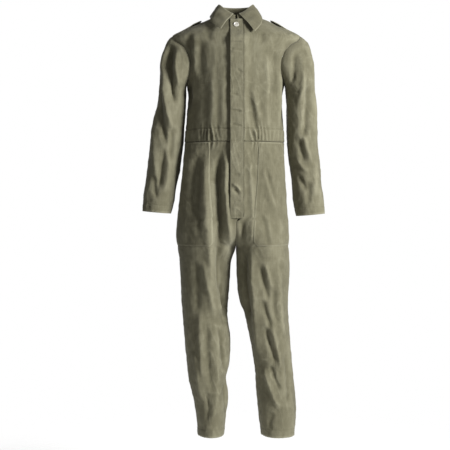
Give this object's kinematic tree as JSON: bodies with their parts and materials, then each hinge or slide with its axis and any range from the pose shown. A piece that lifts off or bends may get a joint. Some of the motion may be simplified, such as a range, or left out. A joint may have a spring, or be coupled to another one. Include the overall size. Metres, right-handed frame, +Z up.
{
  "type": "cotton twill coverall",
  "caption": "Olive cotton coverall with shirt collar, shoulder straps, concealed button fly, long sleeves and large patch pockets, shaped as when worn.",
  "frame": {"origin": "middle of the neck opening at the neck seam, where the wearer's neck or a body form comes through", "axes": "+Z up towards the neck, -Y the way the wearer faces, +X the wearer's left"},
  "size_m": [0.6656, 0.2624, 1.5787],
  "materials": {
    "olive_twill": "matt cotton twill, washed and creased",
    "twill_inside": "matt wrong side of the twill",
    "thread": "cotton thread",
    "elastic": "woven elastic",
    "pearl_button": "satin, slightly worn",
    "horn_button": "satin"
  },
  "bodies": {
    "torso": {"bodice_front_left": "olive_twill", "bodice_front_right": "olive_twill", "bodice_back": "olive_twill", "collar_stand": "olive_twill", "collar_fall_back": "olive_twill", "placket_top": "olive_twill", "collar_button": "pearl_button", "button_stand": "twill_inside", "buttonhole_strip": "twill_inside", "fly_button_1": "horn_button", "fly_button_2": "horn_button", "fly_button_3": "horn_button", "fly_button_4": "horn_button", "fly_button_5": "horn_button", "fly_button_6": "horn_button", "fly_bartack": "thread", "waist_casing": "twill_inside", "waist_elastic": "elastic", "trouser_front_left": "olive_twill", "trouser_front_right": "olive_twill", "trouser_back_left": "olive_twill", "trouser_back_right": "olive_twill", "pocket_left": "olive_twill", "pocket_right": "olive_twill", "epaulette_button_left": "horn_button", "epaulette_button_right": "horn_button"},
    "left_sleeve": {"sleeve_left": "olive_twill", "sleeve_head_left": "olive_twill", "cuff_hem_left": "twill_inside"},
    "left_leg": {"leg_front_left": "olive_twill", "leg_back_left": "olive_twill", "thigh_left": "olive_twill", "leg_hem_left": "twill_inside"},
    "left_epaulette": {"epaulette_left": "olive_twill"},
    "left_collar_wing": {"collar_wing_left": "olive_twill"},
    "right_sleeve": {"sleeve_right": "olive_twill", "sleeve_head_right": "olive_twill", "cuff_hem_right": "twill_inside"},
    "right_leg": {"leg_front_right": "olive_twill", "leg_back_right": "olive_twill", "thigh_right": "olive_twill", "leg_hem_right": "twill_inside"},
    "right_epaulette": {"epaulette_right": "olive_twill"},
    "right_collar_wing": {"collar_wing_right": "olive_twill"},
    "fly_flap_body": {"fly_flap": "olive_twill"}
  },
  "joints": [
    {"name": "left_sleeve_raise", "type": "hinge", "parent": "torso", "child": "left_sleeve", "pos_m": [0.205, 0, -0.185], "axis": [0, -1, 0], "range_deg": [0, 60], "deforming": ["sleeve_head_left"]},
    {"name": "left_leg_swing", "type": "hinge", "parent": "torso", "child": "left_leg", "pos_m": [0.096, 0.002, -0.82], "axis": [-1, 0, 0], "range_deg": [-15, 35], "deforming": ["thigh_left"]},
    {"name": "left_epaulette_lift", "type": "hinge", "parent": "torso", "child": "left_epaulette", "pos_m": [0.232, 0, -0.0565], "axis": [0, 1, 0], "range_deg": [0, 110]},
    {"name": "left_collar_turn_up", "type": "hinge", "parent": "torso", "child": "left_collar_wing", "pos_m": [0.0369, -0.03625, 0.02878], "axis": [-0.668, -0.5706, -0.4777], "range_deg": [0, 80]},
    {"name": "right_sleeve_raise", "type": "hinge", "parent": "torso", "child": "right_sleeve", "pos_m": [-0.205, 0, -0.185], "axis": [0, 1, 0], "range_deg": [0, 60], "deforming": ["sleeve_head_right"]},
    {"name": "right_leg_swing", "type": "hinge", "parent": "torso", "child": "right_leg", "pos_m": [-0.107, 0.002, -0.82], "axis": [-1, 0, 0], "range_deg": [-15, 35], "deforming": ["thigh_right"]},
    {"name": "right_epaulette_lift", "type": "hinge", "parent": "torso", "child": "right_epaulette", "pos_m": [-0.232, 0, -0.0565], "axis": [0, -1, 0], "range_deg": [0, 110]},
    {"name": "right_collar_turn_up", "type": "hinge", "parent": "torso", "child": "right_collar_wing", "pos_m": [-0.0369, -0.03625, 0.02878], "axis": [-0.668, 0.5706, 0.4777], "range_deg": [0, 80]},
    {"name": "fly_open", "type": "hinge", "parent": "torso", "child": "fly_flap_body", "pos_m": [0.0255, -0.1258, -0.415], "axis": [0, 0, 1], "range_deg": [0, 140]}
  ]
}
